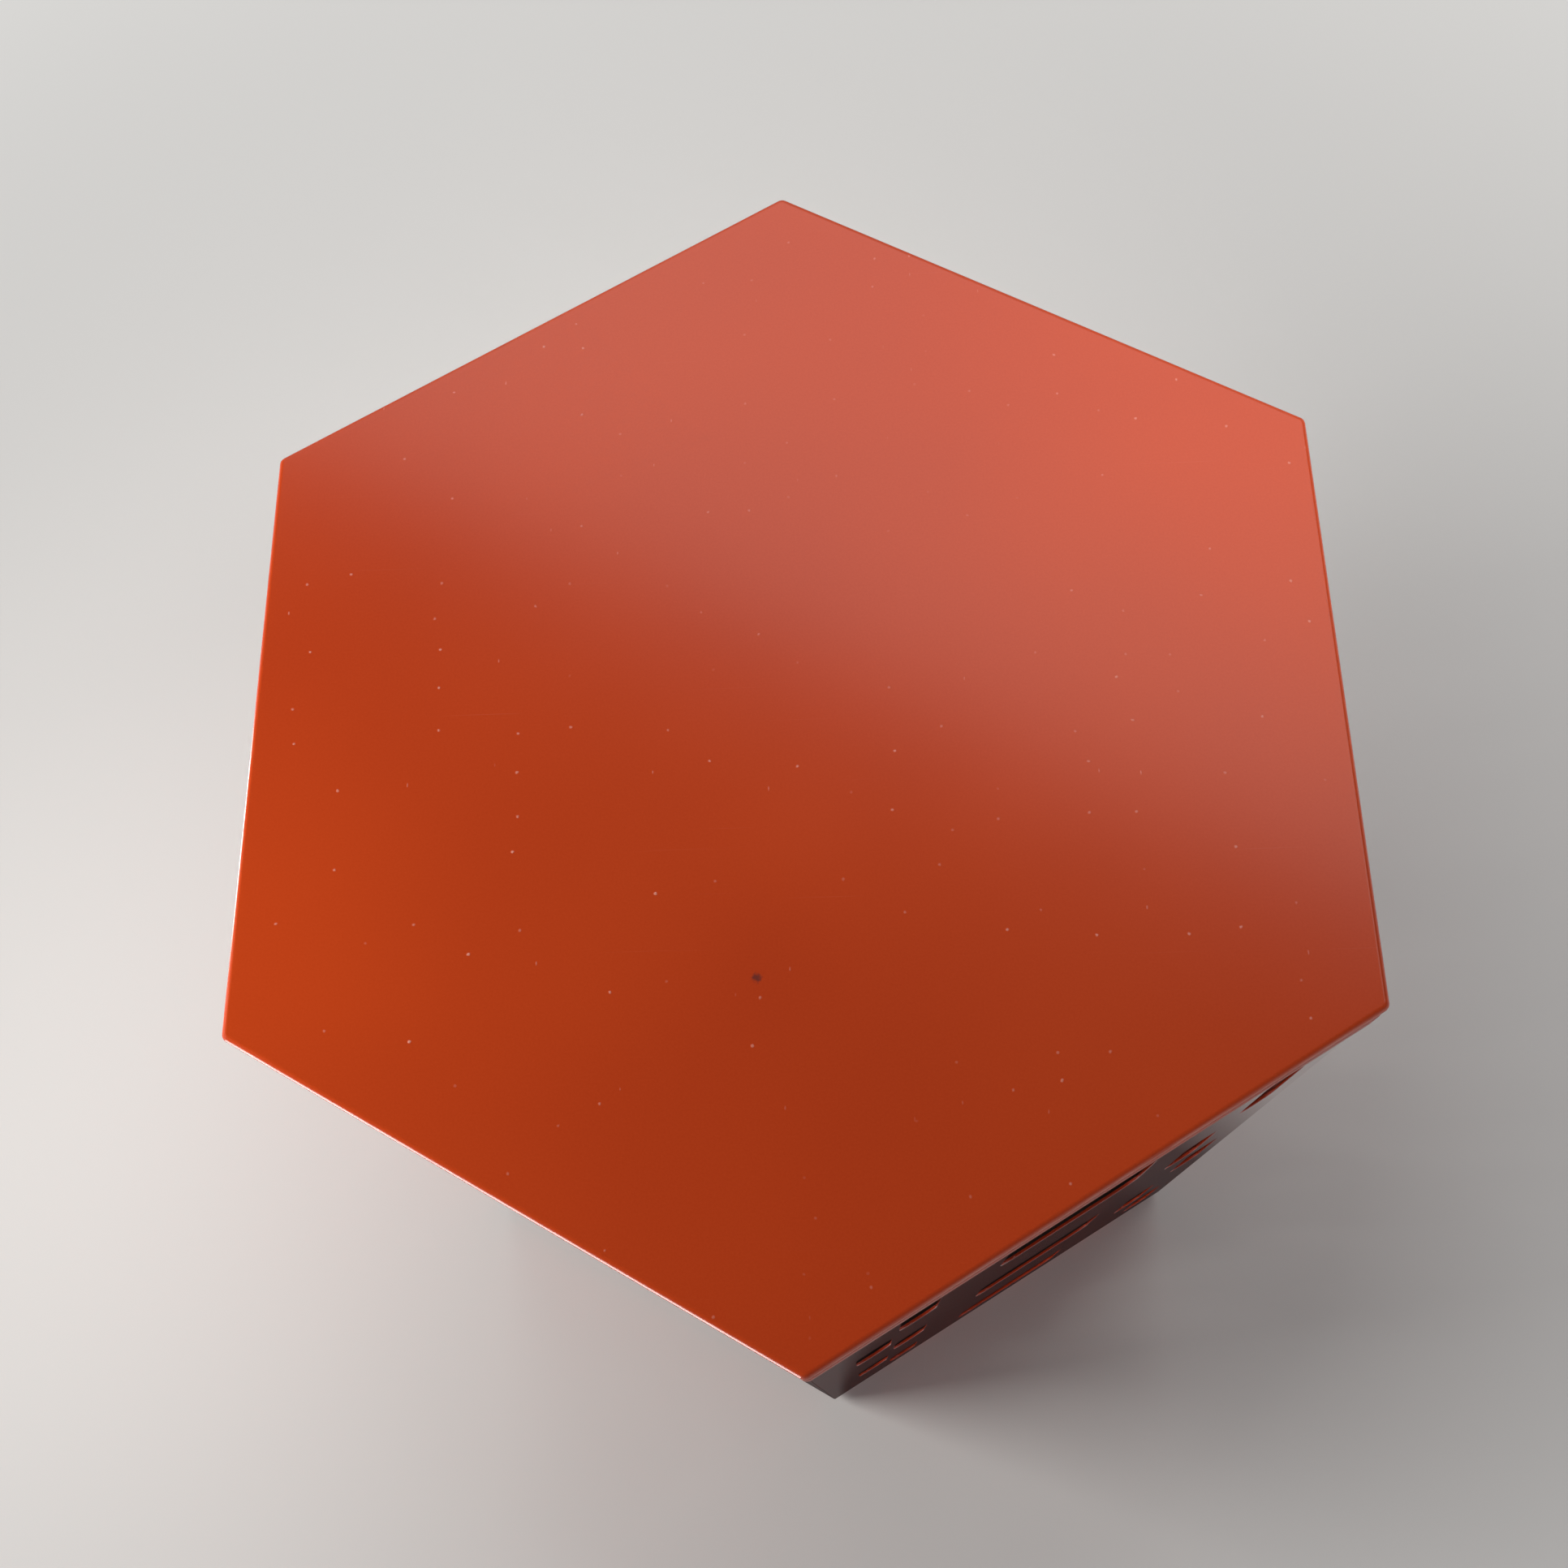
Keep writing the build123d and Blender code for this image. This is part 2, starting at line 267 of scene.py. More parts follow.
def lacquer_finish():
    """Gloss red-orange lacquer: orange peel, a slight ripple, hairlines, grime and rub near the floor."""
    f = Finish("panel_lacquer")
    height = f.part(f.place, 2)
    colour = f.mix(f.remap(f.noise(7.0, detail=3.0), 0.35, 0.65), LACQUER_DEEP, LACQUER_BRIGHT)
    low_down = f.remap(height, *GRIME_HEIGHTS)
    grime = f.maths("MULTIPLY", low_down, f.remap(f.noise(45.0, detail=6.0), 0.40, 0.65))
    colour = f.mix(f.maths("MULTIPLY", grime, 0.35), colour, GRIME)
    by_foot = f.remap(height, *RUBBED_HEIGHTS)
    rubbed = f.maths("MULTIPLY", by_foot, f.remap(f.noise(90.0, detail=4.0), 0.5, 0.6))
    colour = f.mix(rubbed, colour, BARE_STEEL)
    streaks = f.noise(1.0, detail=4.0, vector=f.stretch((500.0, 500.0, 45.0)))
    hairlines = f.remap(streaks, 0.68, 0.74)
    colour = f.mix(f.maths("MULTIPLY", hairlines, 0.06), colour, RED_PALE)
    rough = f.remap(f.noise(30.0, detail=3.0), 0.25, 0.75, 0.13, 0.20)
    f.set(Base_Color=colour, Roughness=f.maths("ADD", rough, f.maths("MULTIPLY", grime, 0.06)))
    f.set(Coat_Weight=1.0, Coat_Roughness=0.03, Coat_IOR=1.45, Specular_IOR_Level=0.3)
    f.bump((f.noise(6.0, detail=1.0), 0.15, 1.0 * MM), (f.noise(520.0, detail=2.0), 0.07, 0.05 * MM))
    return f.material


def primer_finish():
    """Dull red primer on the frame steel, mottled, with a fine paler grain."""
    f = Finish("frame_primer")
    colour = f.mix(f.remap(f.noise(28.0, detail=5.0), 0.35, 0.65), PRIMER_DEEP, PRIMER_BRIGHT)
    colour = f.mix(f.remap(f.noise(900.0, detail=2.0), 0.45, 0.75, 0.0, 0.25), colour, PRIMER_GRAIN)
    f.set(Base_Color=colour, Roughness=f.remap(f.noise(70.0), 0.3, 0.7, 0.45, 0.62), Specular_IOR_Level=0.4)
    f.bump((f.noise(800.0, detail=3.0), 0.20, 0.05 * MM))
    return f.material


def painted_board_finish():
    """Painted plywood rim, its plies just telling through the paint, with a bare birch underside."""
    f = Finish("painted_board")
    paint = f.mix(f.remap(f.noise(12.0, detail=3.0), 0.35, 0.65), RED_DEEP, RED_BRIGHT)
    paint = f.mix(f.remap(f.noise(500.0, detail=3.0), 0.45, 0.8, 0.0, 0.05), paint, RED_PALE)
    plies = f.noise(1.0, detail=2.0, vector=f.stretch((14.0, 14.0, 700.0)))
    paint = f.mix(f.remap(plies, 0.50, 0.68, 0.0, 0.30), paint, PAINTED_PLIES)
    birch, grain = birch_colour(f)
    under = f.remap(f.facing(2), -0.85, -0.95)
    rough = f.remap(f.noise(50.0), 0.3, 0.7, 0.30, 0.40)
    f.set(Base_Color=f.mix(under, paint, birch), Specular_IOR_Level=0.4)
    f.set(Roughness=f.maths("ADD", rough, f.maths("MULTIPLY", under, 0.28)))
    f.bump((plies, 0.35, 0.12 * MM), (grain, 0.15, 0.08 * MM), (f.noise(480.0, detail=2.0), 0.12, 0.06 * MM))
    return f.material


def birch_colour(f):
    """Long pale grain along X with darker pores: colour and height."""
    rings = f.noise(1.0, detail=6.0, roughness=0.55, distortion=0.6, vector=f.stretch((5.0, 55.0, 55.0)))
    pores = f.noise(1.0, detail=3.0, vector=f.stretch((60.0, 1500.0, 1500.0)))
    colour = f.mix(f.remap(rings, 0.30, 0.70), BIRCH_PALE, BIRCH_DEEP)
    colour = f.mix(f.remap(pores, 0.58, 0.75, 0.0, 0.55), colour, BIRCH_PORES)
    return colour, pores


def birch_finish():
    """Bare sanded birch, for the blocks."""
    f = Finish("bare_birch")
    colour, grain = birch_colour(f)
    f.set(Base_Color=colour, Roughness=f.remap(f.noise(60.0), 0.3, 0.7, 0.55, 0.70), Specular_IOR_Level=0.35)
    f.bump((grain, 0.25, 0.10 * MM))
    return f.material


def fibreboard_finish():
    """Pressed fibreboard painted near-black as painted shade, so that the stand's inside looks dark through
    the openings: mottled, with the brown of some fibres showing through.
    """
    f = Finish("fibreboard")
    # Painted shade: a near-black mottle in place of the shaded inside of the stand.
    colour = f.mix(f.remap(f.noise(35.0, detail=6.0), 0.3, 0.7), PAINTED_SHADE_BLACK, PAINTED_SHADE_LIGHTER)
    fibres = f.noise(1.0, detail=4.0, distortion=1.2, vector=f.stretch((320.0, 900.0, 320.0), (0, 0, 0.7)))
    colour = f.mix(f.remap(fibres, 0.55, 0.72, 0.0, 0.6), colour, BROWN_FIBRES)
    f.set(Base_Color=colour, Roughness=f.remap(fibres, 0.3, 0.7, 0.72, 0.88), Specular_IOR_Level=0.25)
    f.bump((fibres, 0.35, 0.12 * MM))
    return f.material


def rubber_finish(name, tint):
    """Matt black rubber with a fine moulded grain and grey bloom."""
    f = Finish(name)
    bloom = f.remap(f.noise(70.0, detail=5.0), 0.40, 0.75, 0.0, 0.35)
    colour = f.mix(bloom, tint, RUBBER_BLOOM)
    f.set(Base_Color=colour, Roughness=f.remap(f.noise(200.0), 0.3, 0.7, 0.62, 0.80), Specular_IOR_Level=0.3)
    distance, _ = f.cells(1100.0)
    f.bump((distance, 0.30, 0.08 * MM), (f.noise(260.0, detail=3.0), 0.20, 0.10 * MM))
    return f.material


def felt_finish():
    """Dark grey felt: tangled fibres, some pale."""
    f = Finish("felt")
    tangle = f.noise(700.0, detail=6.0, roughness=0.7, distortion=2.5)
    colour = f.mix(f.remap(tangle, 0.35, 0.65), FELT_DARK, FELT_GREY)
    colour = f.mix(f.remap(f.noise(2200.0, detail=2.0), 0.66, 0.74), colour, FELT_PALE)
    f.set(Base_Color=colour, Roughness=0.95, Sheen_Weight=0.5, Sheen_Roughness=0.4, Specular_IOR_Level=0.15)
    f.bump((tangle, 0.8, 0.30 * MM))
    return f.material


def weld_finish():
    """Primer scorched brown and blue-grey by a spot weld."""
    f = Finish("weld_scorch")
    scorch = f.remap(f.noise(420.0, detail=4.0), 0.35, 0.65)
    f.set(Base_Color=f.mix(scorch, SCORCH_BROWN, SCORCH_GREY), Metallic=0.35)
    f.set(Roughness=f.remap(scorch, 0.0, 1.0, 0.42, 0.60))
    f.bump((f.noise(1500.0, detail=3.0), 0.25, 0.04 * MM))
    return f.material


def metal_finish(name, light, dark, roughness):
    """Turned metal with fine level streaks and small stains."""
    f = Finish(name)
    stain = f.remap(f.noise(260.0, detail=5.0), 0.45, 0.75)
    streaks = f.noise(1.0, detail=3.0, vector=f.stretch((900.0, 900.0, 6000.0)))
    f.set(Base_Color=f.mix(stain, light, dark), Metallic=1.0)
    f.set(Roughness=f.remap(streaks, 0.3, 0.7, roughness - 0.06, roughness + 0.12))
    f.bump((streaks, 0.15, 0.02 * MM))
    return f.material


SHEET = playing_sheet_finish()
LACQUER = lacquer_finish()
PRIMER = primer_finish()
PAINTED_BOARD = painted_board_finish()
BIRCH = birch_finish()
FIBREBOARD = fibreboard_finish()
DAMPING_RUBBER = rubber_finish("damping_rubber", (0.020, 0.020, 0.021))
FOOT_RUBBER = rubber_finish("foot_rubber", (0.014, 0.014, 0.015))
FELT = felt_finish()
WELD = weld_finish()
STEEL = metal_finish("zinc_steel", (0.66, 0.66, 0.68), (0.38, 0.37, 0.36), 0.30)
BRASS = metal_finish("turned_brass", (0.80, 0.60, 0.28), (0.42, 0.28, 0.12), 0.28)


# ---- CAD nodes that keep their shape ----------------------------------------
WELD_REACH = 0.002 * MM        # corner points this close are joined before rounding
ARRIS_ANGLE = math.radians(40)
ARRIS_STEPS = 2
SMOOTH_ANGLE = math.radians(38)
PANEL_ARRIS = 0.22 * MM
FRAME_ARRIS = 0.25 * MM
BLOCKS = 3


def finish_node(name, material, arris=0.0):
    """Gives a CAD node its finish and, where asked, softly rounded arrises."""
    piece = nodes[name]
    piece.data.materials.clear()
    piece.data.materials.append(material)
    if arris:
        weld = piece.modifiers.new("weld", "WELD")
        weld.merge_threshold = WELD_REACH
        bevel = piece.modifiers.new("arris", "BEVEL")
        bevel.width = arris
        bevel.segments = ARRIS_STEPS
        bevel.limit_method = "ANGLE"
        bevel.angle_limit = ARRIS_ANGLE
        bevel.use_clamp_overlap = True
        normals = piece.modifiers.new("normals", "WEIGHTED_NORMAL")
        normals.keep_sharp = False


finish_node("playing_surface", SHEET)
finish_node("pad_board", PAINTED_BOARD)
finish_node("base_board", FIBREBOARD)
finish_node("top_ring", PRIMER, FRAME_ARRIS)
finish_node("bottom_ring", PRIMER, FRAME_ARRIS)
finish_node("block_screws", STEEL)
finish_node("foot_screws", STEEL)
finish_node("foot_washers", STEEL)
finish_node("base_inserts", BRASS)
for number in range(1, SIDES + 1):
    finish_node(f"side_panel_{number}", LACQUER, PANEL_ARRIS)
    finish_node(f"corner_angle_{number}", PRIMER, FRAME_ARRIS)
for number in range(1, BLOCKS + 1):
    finish_node(f"locating_block_{number}", BIRCH)


# ---- Mesh helpers ---------------------------------------------------------------
def node_points(name):
    """A CAD node's corner points, once each, lowest X first."""
    vertices = nodes[name].data.vertices
    return sorted({tuple(round(value, 6) for value in vertex.co) for vertex in vertices})


def new_piece(name, mesh, material, body):
    """Turns a bmesh into an object that rides on a body and takes its finish from a slot."""
    bmesh.ops.recalc_face_normals(mesh, faces=mesh.faces)
    data = bpy.data.meshes.new(name)
    mesh.to_mesh(data)
    mesh.free()
    data.polygons.foreach_set("use_smooth", [True] * len(data.polygons))
    data.set_sharp_from_angle(angle=SMOOTH_ANGLE)
    data.materials.append(material)
    piece = bpy.data.objects.new(name, data)
    bpy.context.scene.collection.objects.link(piece)
    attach(piece, body)
    return piece


def add_band(mesh, lower, upper):
    """Four-sided faces between two equal rings of points."""
    for i in range(len(lower)):
        j = (i + 1) % len(lower)
        mesh.faces.new((lower[i], lower[j], upper[j], upper[i]))


def add_skin(mesh, loops, joined=False):
    """A closed skin over rings of points: capped at both ends, or its last ring joined to its first."""
    made = [[mesh.verts.new(point) for point in loop] for loop in loops]
    for lower, upper in zip(made, made[1:]):
        add_band(mesh, lower, upper)
    if joined:
        add_band(mesh, made[-1], made[0])
    else:
        mesh.faces.new(list(reversed(made[0])))
        mesh.faces.new(made[-1])


def flat(angle):
    """Level unit vector at an angle from +X."""
    return Vector((math.cos(angle), math.sin(angle), 0.0))


def ring_of_points(centre, across, up, radius, height, count):
    """Points round a circle at a height along the axis that across and up are square to."""
    axis = across.cross(up)
    points = []
    for step in range(count):
        angle = 2 * math.pi * step / count
        points.append(centre + axis * height + (across * math.cos(angle) + up * math.sin(angle)) * radius)
    return points


# ---- Rubber layer ------------------------------------------------------------------
RUBBER_SWELL = 0.55 * MM       # how far the squeezed edge bellies out between sheet and board
RUBBER_WAVER = 0.06 * MM       # waver of the knife-cut edge
RUBBER_WAVES = 260.0           # how closely the waver repeats, per metre
RUBBER_TIP = 2.8 * MM          # radius of the hexagon's rounded tips
RUBBER_LEVELS = 10


def hexagon_loop(apothem, tip_radius, z, per_side=40, per_tip=6):
    """Points round a hexagon with rounded tips, evenly spread along each side."""
    reach = (apothem - tip_radius) / math.cos(TURN / 2)
    points = []
    for corner in range(SIDES):
        middle = (corner + 0.5) * TURN
        centre = flat(middle) * reach + Vector((0, 0, z))
        for step in range(per_tip + 1):
            points.append(centre + flat(middle - TURN / 2 + TURN * step / per_tip) * tip_radius)
        start = points[-1]
        end = flat(middle + TURN) * reach + Vector((0, 0, z)) + flat(middle + TURN / 2) * tip_radius
        points += [start.lerp(end, step / per_side) for step in range(1, per_side)]
    return points


def make_rubber_layer():
    """Rubber slab whose cut edge bellies out under the sheet and wavers a little."""
    low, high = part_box("damping_rubber")
    mesh = bmesh.new()
    loops = []
    for level in range(RUBBER_LEVELS + 1):
        t = level / RUBBER_LEVELS
        z = low.z + (high.z - low.z) * t
        inset = RUBBER_SWELL * (2 * t - 1) ** 2 + RUBBER_WAVER
        loop = hexagon_loop(high.x - inset, RUBBER_TIP, z)
        for point in loop:
            waver = noise.noise(Vector((point.x, point.y, 3 * z)) * RUBBER_WAVES)
            point += Vector((point.x, point.y, 0)).normalized() * RUBBER_WAVER * waver
        loops.append(loop)
    add_skin(mesh, loops)
    piece = new_piece("damping_rubber_layer", mesh, DAMPING_RUBBER, "pad")
    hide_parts("damping_rubber")


# ---- Felt -----------------------------------------------------------------------------
FELT_NAP = 0.20 * MM           # unevenness of the nap
FELT_RAG = 0.35 * MM           # raggedness of the cut edges
FELT_TUFTS = 900.0             # how closely the raggedness repeats, per metre
BOX_CORNERS = 8                # a strip is a box, and the strip at +X holds the last of the points
FELT_STATIONS = 150
FELT_COLUMNS = 12
FELT_SIDE_STEPS = 3


def felt_section(half_width, low_z, high_z):
    """Outline of a strip's cross-section, as (across, height) pairs."""
    top = [(half_width * (1 - 2 * i / FELT_COLUMNS), high_z) for i in range(FELT_COLUMNS + 1)]
    left = [(-half_width, high_z + (low_z - high_z) * i / FELT_SIDE_STEPS) for i in range(1, FELT_SIDE_STEPS)]
    bottom = [(-across, low_z) for across, _ in top]
    right = [(half_width, low_z + (high_z - low_z) * i / FELT_SIDE_STEPS) for i in range(1, FELT_SIDE_STEPS)]
    return top + left + bottom + right


def make_felt():
    """Felt strips with a pressed, uneven nap and ragged cut edges, sized from the strip at +X."""
    strip = node_points("felt_strips")[-BOX_CORNERS:]
    inner_x, outer_x = strip[0][0], strip[-1][0]
    half_length = max(point[1] for point in strip)
    low_z, high_z = min(point[2] for point in strip), max(point[2] for point in strip)
    half_width = (outer_x - inner_x) / 2
    mesh = bmesh.new()
    for side in range(SIDES):
        out, along = flat(side * TURN), flat(side * TURN + math.pi / 2)
        loops = []
        for station in range(FELT_STATIONS + 1):
            run = half_length * (2 * station / FELT_STATIONS - 1)
            loop = []
            for across, height in felt_section(half_width, low_z, high_z):
                place = out * ((inner_x + outer_x) / 2 + across) + along * run
                seed = Vector((place.x, place.y, height)) * FELT_TUFTS
                if abs(across) == half_width:
                    place -= out * math.copysign(FELT_RAG * abs(noise.noise(seed)), across)
                if station in (0, FELT_STATIONS):
                    place -= along * math.copysign(FELT_RAG * abs(noise.noise(seed * 1.7)), run)
                sink = FELT_NAP * abs(noise.noise(seed * 0.6)) if height == high_z else 0.0
                loop.append(Vector((place.x, place.y, height - sink)))
            loops.append(loop)
        add_skin(mesh, loops)
    piece = new_piece("felt_on_ring", mesh, FELT, "stand")
    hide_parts("felt_strips")


# ---- Feet -----------------------------------------------------------------------------
FOOT_STEPS = 72
GRIP_GROOVES = 3
GROOVE_DEPTH = 0.5 * MM
GROOVE_HALF = 0.35 * MM        # half a groove's width
RECESS_LIP = 0.3 * MM          # bevel at the recess under the foot
TREAD_ROUND = 1.0 * MM         # radius between the tread and the foot's side
ROUND_STEPS = 4
TOP_BEVEL = 0.4 * MM
PARTING_LINE = 0.12 * MM       # moulding line that stands proud of the foot's side
# Shares of the way up the foot's side, and how far it stands proud there.
PARTING_SHARES = ((0.35, 0.0), (0.50, 0.0), (0.53, PARTING_LINE), (0.56, 0.0), (0.80, 0.0))
TOUCHING = 0.01 * MM           # heights this close are the same


def foot_profile(name, centre):
    """Moulded foot as (radius, height) pairs, from the recess outward, up and back in."""
    points = [((Vector(point[:2]) - centre.xy).length, point[2]) for point in node_points(name)]
    top = max(height for _, height in points)
    floor_radii = [radius for radius, height in points if height < TOUCHING]
    top_radii = [radius for radius, height in points if height > top - TOUCHING]
    recess, tread = min(floor_radii), max(floor_radii)
    bore, rim = min(top_radii), max(top_radii)
    ceiling = max(height for radius, height in points if abs(radius - recess) < 5 * TOUCHING)
    profile = [(recess, RECESS_LIP), (recess + RECESS_LIP, 0.0)]
    pitch = (tread - recess - 2 * RECESS_LIP) / GRIP_GROOVES
    for groove in range(GRIP_GROOVES):
        middle = recess + RECESS_LIP + pitch * (groove + 0.5)
        profile.append((middle - GROOVE_HALF, 0.0))
        profile.append((middle, GROOVE_DEPTH))
        profile.append((middle + GROOVE_HALF, 0.0))
    outer = tread + TREAD_ROUND
    for step in range(ROUND_STEPS + 1):
        angle = math.pi / 2 * step / ROUND_STEPS
        profile.append((tread + TREAD_ROUND * math.sin(angle), TREAD_ROUND * (1 - math.cos(angle))))
    slope = (rim - outer) / (top - TREAD_ROUND)
    for share, proud in PARTING_SHARES:
        height = TREAD_ROUND + (top - TREAD_ROUND) * share
        profile.append((outer + slope * (height - TREAD_ROUND) + proud, height))
    profile += [(rim, top - TOP_BEVEL), (rim - TOP_BEVEL, top), (bore, top)]
    profile += [(bore, ceiling), (recess, ceiling)]
    return profile


def make_feet():
    """Turned rubber feet with grip grooves under them and a moulding line round the side."""
    for number in range(1, SIDES + 1):
        name = f"foot_{number}"
        low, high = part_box(name)
        centre = Vector(((low.x + high.x) / 2, (low.y + high.y) / 2, 0.0))
        mesh = bmesh.new()
        across, up = Vector((1, 0, 0)), Vector((0, 1, 0))
        loops = [ring_of_points(centre, across, up, r, z, FOOT_STEPS) for r, z in foot_profile(name, centre)]
        add_skin(mesh, loops, joined=True)
        piece = new_piece(f"rubber_foot_{number}", mesh, FOOT_RUBBER, "stand")
        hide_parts(name)


# ---- Spot welds --------------------------------------------------------------------------
# Radius and height of a weld's rings, in millimetres, from its buried foot to its dent.
WELD_PROFILE = ((2.7, -0.05), (2.6, 0.02), (2.2, 0.13), (1.7, 0.12), (0.9, 0.03))
WELD_STEPS = 20
WELDS_UP = 7
WELD_IN = 8.0 * MM             # from a corner's inner line to the weld
RING_WELDS = 4                 # on each side of the top ring,
RING_WELD_PITCH = 40 * MM      # this far apart
RING_WELD_SHARE = 0.45         # and this far up its leg


def add_weld(mesh, centre, inward):
    """One shallow ringed dent, raised a little from the steel it sits on."""
    up = Vector((0, 0, 1))
    across = up.cross(inward)
    rings = [ring_of_points(centre, across, up, r * MM, h * MM, WELD_STEPS) for r, h in WELD_PROFILE]
    add_skin(mesh, rings)


def make_spot_welds():
    """Welds that hold the panels to the corner angles and to the top ring's leg, seen from inside."""
    ring_low, ring_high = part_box("top_ring")
    leg_x = sorted({point[0] for point in node_points("top_ring")})[-2]
    angle_low, angle_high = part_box("corner_angle_1")
    half_side = leg_x * math.tan(TURN / 2)
    mesh = bmesh.new()
    for side in range(SIDES):
        out, along = flat(side * TURN), flat(side * TURN + math.pi / 2)
        for row in range(WELDS_UP):
            z = angle_low.z + (angle_high.z - angle_low.z) * (row + 0.5) / WELDS_UP
            for hand in (-1, 1):
                place = out * leg_x + along * hand * (half_side - WELD_IN) + Vector((0, 0, z))
                add_weld(mesh, place, -out)
        height = ring_low.z + (ring_high.z - ring_low.z) * RING_WELD_SHARE
        for weld in range(RING_WELDS):
            run = RING_WELD_PITCH * (weld - (RING_WELDS - 1) / 2)
            add_weld(mesh, out * leg_x + along * run + Vector((0, 0, height)), -out)
    new_piece("spot_welds", mesh, WELD, "stand")


make_rubber_layer()
make_felt()
make_feet()
make_spot_welds()


# ---- Studio -------------------------------------------------------------------
FLOOR_SIZE = 14.0
FLOOR_DROP = 0.1 * MM          # keeps the floor just clear of the feet
FLOOR_PALE = (0.74, 0.73, 0.71)
FLOOR_SHADE = (0.71, 0.70, 0.68)
FLOOR_FADE = (0.30, 1.05)      # distances between which the floor turns into backdrop
PALE = (0.72, 0.71, 0.69)
HORIZON_LIGHT = 1.25           # the world's light at the horizon,
OVERHEAD_LIGHT = 0.06          # and high up
HIGH_UP = 0.60                 # upward share of a direction from which the light stays at its lowest
MIRRORED_SHARE = 0.45          # how much of the horizon's light the glossy panels mirror
MIRRORED_LEAST = 0.16          # and the least light that anything mirrors from overhead
DAYLIGHT = (0.93, 0.96, 1.0)
UNDERSIDE_GAP = 0.03           # light that reaches the floor within this distance came from the underside
# Painted shade: the floor beside the stand is darker in reflections only, standing in for the shade at the
# stand's foot.
MIRRORED_PAINTED_SHADE = (0.12, 0.11, 0.11)
MIRRORED_STRIP = (80 * MM, 25 * MM)   # how far from the stand the darkening starts and is full


def make_floor():
    """Pale plain floor that fades into the backdrop far off.

    It is clear from below, and to light that leaves the stand's underside, so
    that the underside can be seen. The strip of floor beside the stand is
    painted dark in reflections only, a painted shade that the glossy panels
    mirror, so that they stand out from the pale floor.
    """
    bpy.ops.mesh.primitive_plane_add(size=FLOOR_SIZE, location=(0, 0, -FLOOR_DROP))
    floor = bpy.context.object
    floor.name = "floor"
    f = Finish("floor")
    path = f.node("ShaderNodeLightPath")
    # Painted shade in reflections: glossy rays see the strip beside the stand darker.
    beside = f.remap(f.edge_distance(), -MIRRORED_STRIP[0], -MIRRORED_STRIP[1])
    mirrored_shade_strip = f.maths("MULTIPLY", beside, path.outputs["Is Glossy Ray"])
    colour = f.mix(f.remap(f.noise(1.2, detail=3.0), 0.3, 0.7), FLOOR_PALE, FLOOR_SHADE)
    f.set(Base_Color=f.mix(mirrored_shade_strip, colour, MIRRORED_PAINTED_SHADE), Roughness=0.75, Specular_IOR_Level=0.2)
    length = f.node("ShaderNodeVectorMath", operation="LENGTH")
    f.link(f.place, length.inputs[0])
    seen = f.maths("MAXIMUM", path.outputs["Is Camera Ray"], path.outputs["Is Glossy Ray"])
    fade = f.maths("MULTIPLY", f.remap(length.outputs["Value"], *FLOOR_FADE), seen)
    backdrop = f.node("ShaderNodeEmission")
    mirrored_light = (HORIZON_LIGHT * MIRRORED_SHARE,) * 3
    f.feed(backdrop.inputs["Color"], f.mix(path.outputs["Is Glossy Ray"], PALE, mirrored_light))
    faded = f.node("ShaderNodeMixShader")
    f.link(fade, faded.inputs[0])
    f.link(f.surface.outputs["BSDF"], faded.inputs[1])
    f.link(backdrop.outputs[0], faded.inputs[2])
    choice = f.node("ShaderNodeMixShader")
    near = f.maths("LESS_THAN", path.outputs["Ray Length"], UNDERSIDE_GAP)
    under = f.maths("MULTIPLY", near, path.outputs["Is Diffuse Ray"])
    behind = f.node("ShaderNodeNewGeometry").outputs["Backfacing"]
    f.link(f.maths("MAXIMUM", under, behind), choice.inputs[0])
    f.link(faded.outputs[0], choice.inputs[1])
    f.link(f.node("ShaderNodeBsdfTransparent").outputs[0], choice.inputs[2])
    output = next(n for n in f.tree.nodes if n.type == "OUTPUT_MATERIAL")
    f.link(choice.outputs[0], output.inputs["Surface"])
    floor.data.materials.append(f.material)


def area_light(name, place, aim, size, power, tint=(1.0, 1.0, 1.0), spin=0.0, spread=180.0):
    """Rectangular light that faces its aim, with its spread in degrees. The camera doesn't see it."""
    data = bpy.data.lights.new(name, "AREA")
    data.shape = "RECTANGLE"
    data.size, data.size_y = size
    data.energy = power
    data.spread = math.radians(spread)
    data.color = tint
    lamp = bpy.data.objects.new(name, data)
    bpy.context.scene.collection.objects.link(lamp)
    lamp.location = place
    lamp.rotation_mode = "QUATERNION"
    turn = (Vector(aim) - Vector(place)).to_track_quat("-Z", "Y")
    lamp.rotation_quaternion = turn @ Quaternion((0, 0, 1), spin)
    lamp.visible_camera = False
    return lamp


def world_maths(tree, operation, *values):
    """A maths node in the world's tree: each value is a number or another node's output."""
    made = tree.nodes.new("ShaderNodeMath")
    made.operation = operation
    for socket, value in zip(made.inputs, values):
        if isinstance(value, bpy.types.NodeSocket):
            tree.links.new(value, socket)
        else:
            socket.default_value = value
    return made.outputs[0]


